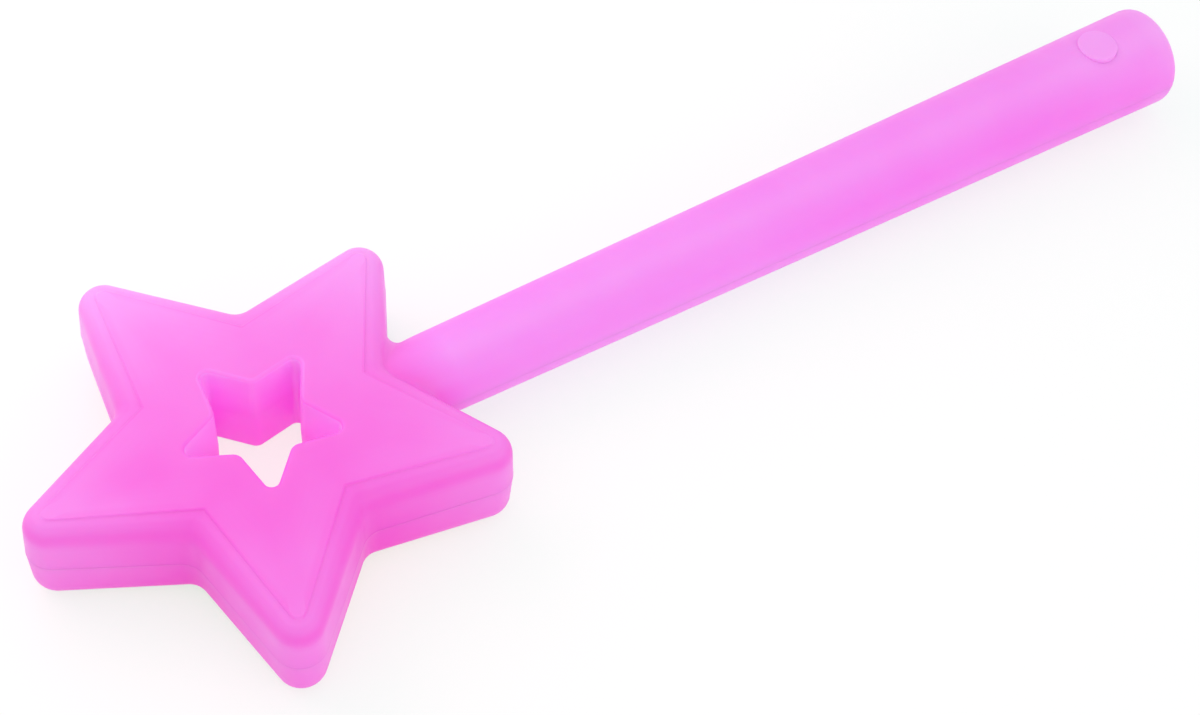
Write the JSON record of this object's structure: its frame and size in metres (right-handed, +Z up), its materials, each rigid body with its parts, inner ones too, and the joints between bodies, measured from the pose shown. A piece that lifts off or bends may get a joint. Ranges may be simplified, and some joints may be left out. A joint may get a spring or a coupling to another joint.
{
  "type": "toy magic wand",
  "caption": "Toy magic wand: a hollow rounded star with a star-shaped hole, on a tapered round handle with a flat round plug near its butt end, in satin pink plastic.",
  "frame": {"origin": "middle of the wand's length and width, on the surface that it lies on", "axes": "+X along the handle from the star to the butt end, +Z up out of the star's front face"},
  "size_m": [0.2974, 0.1018, 0.0244],
  "materials": {
    "upper_shell": "satin, slightly see-through pink",
    "lower_shell": "satin, slightly see-through pink",
    "air_plug": "satin, slightly see-through pink"
  },
  "bodies": {
    "root": {"upper_shell": "upper_shell", "lower_shell": "lower_shell", "air_plug": "air_plug"}
  },
  "joints": []
}
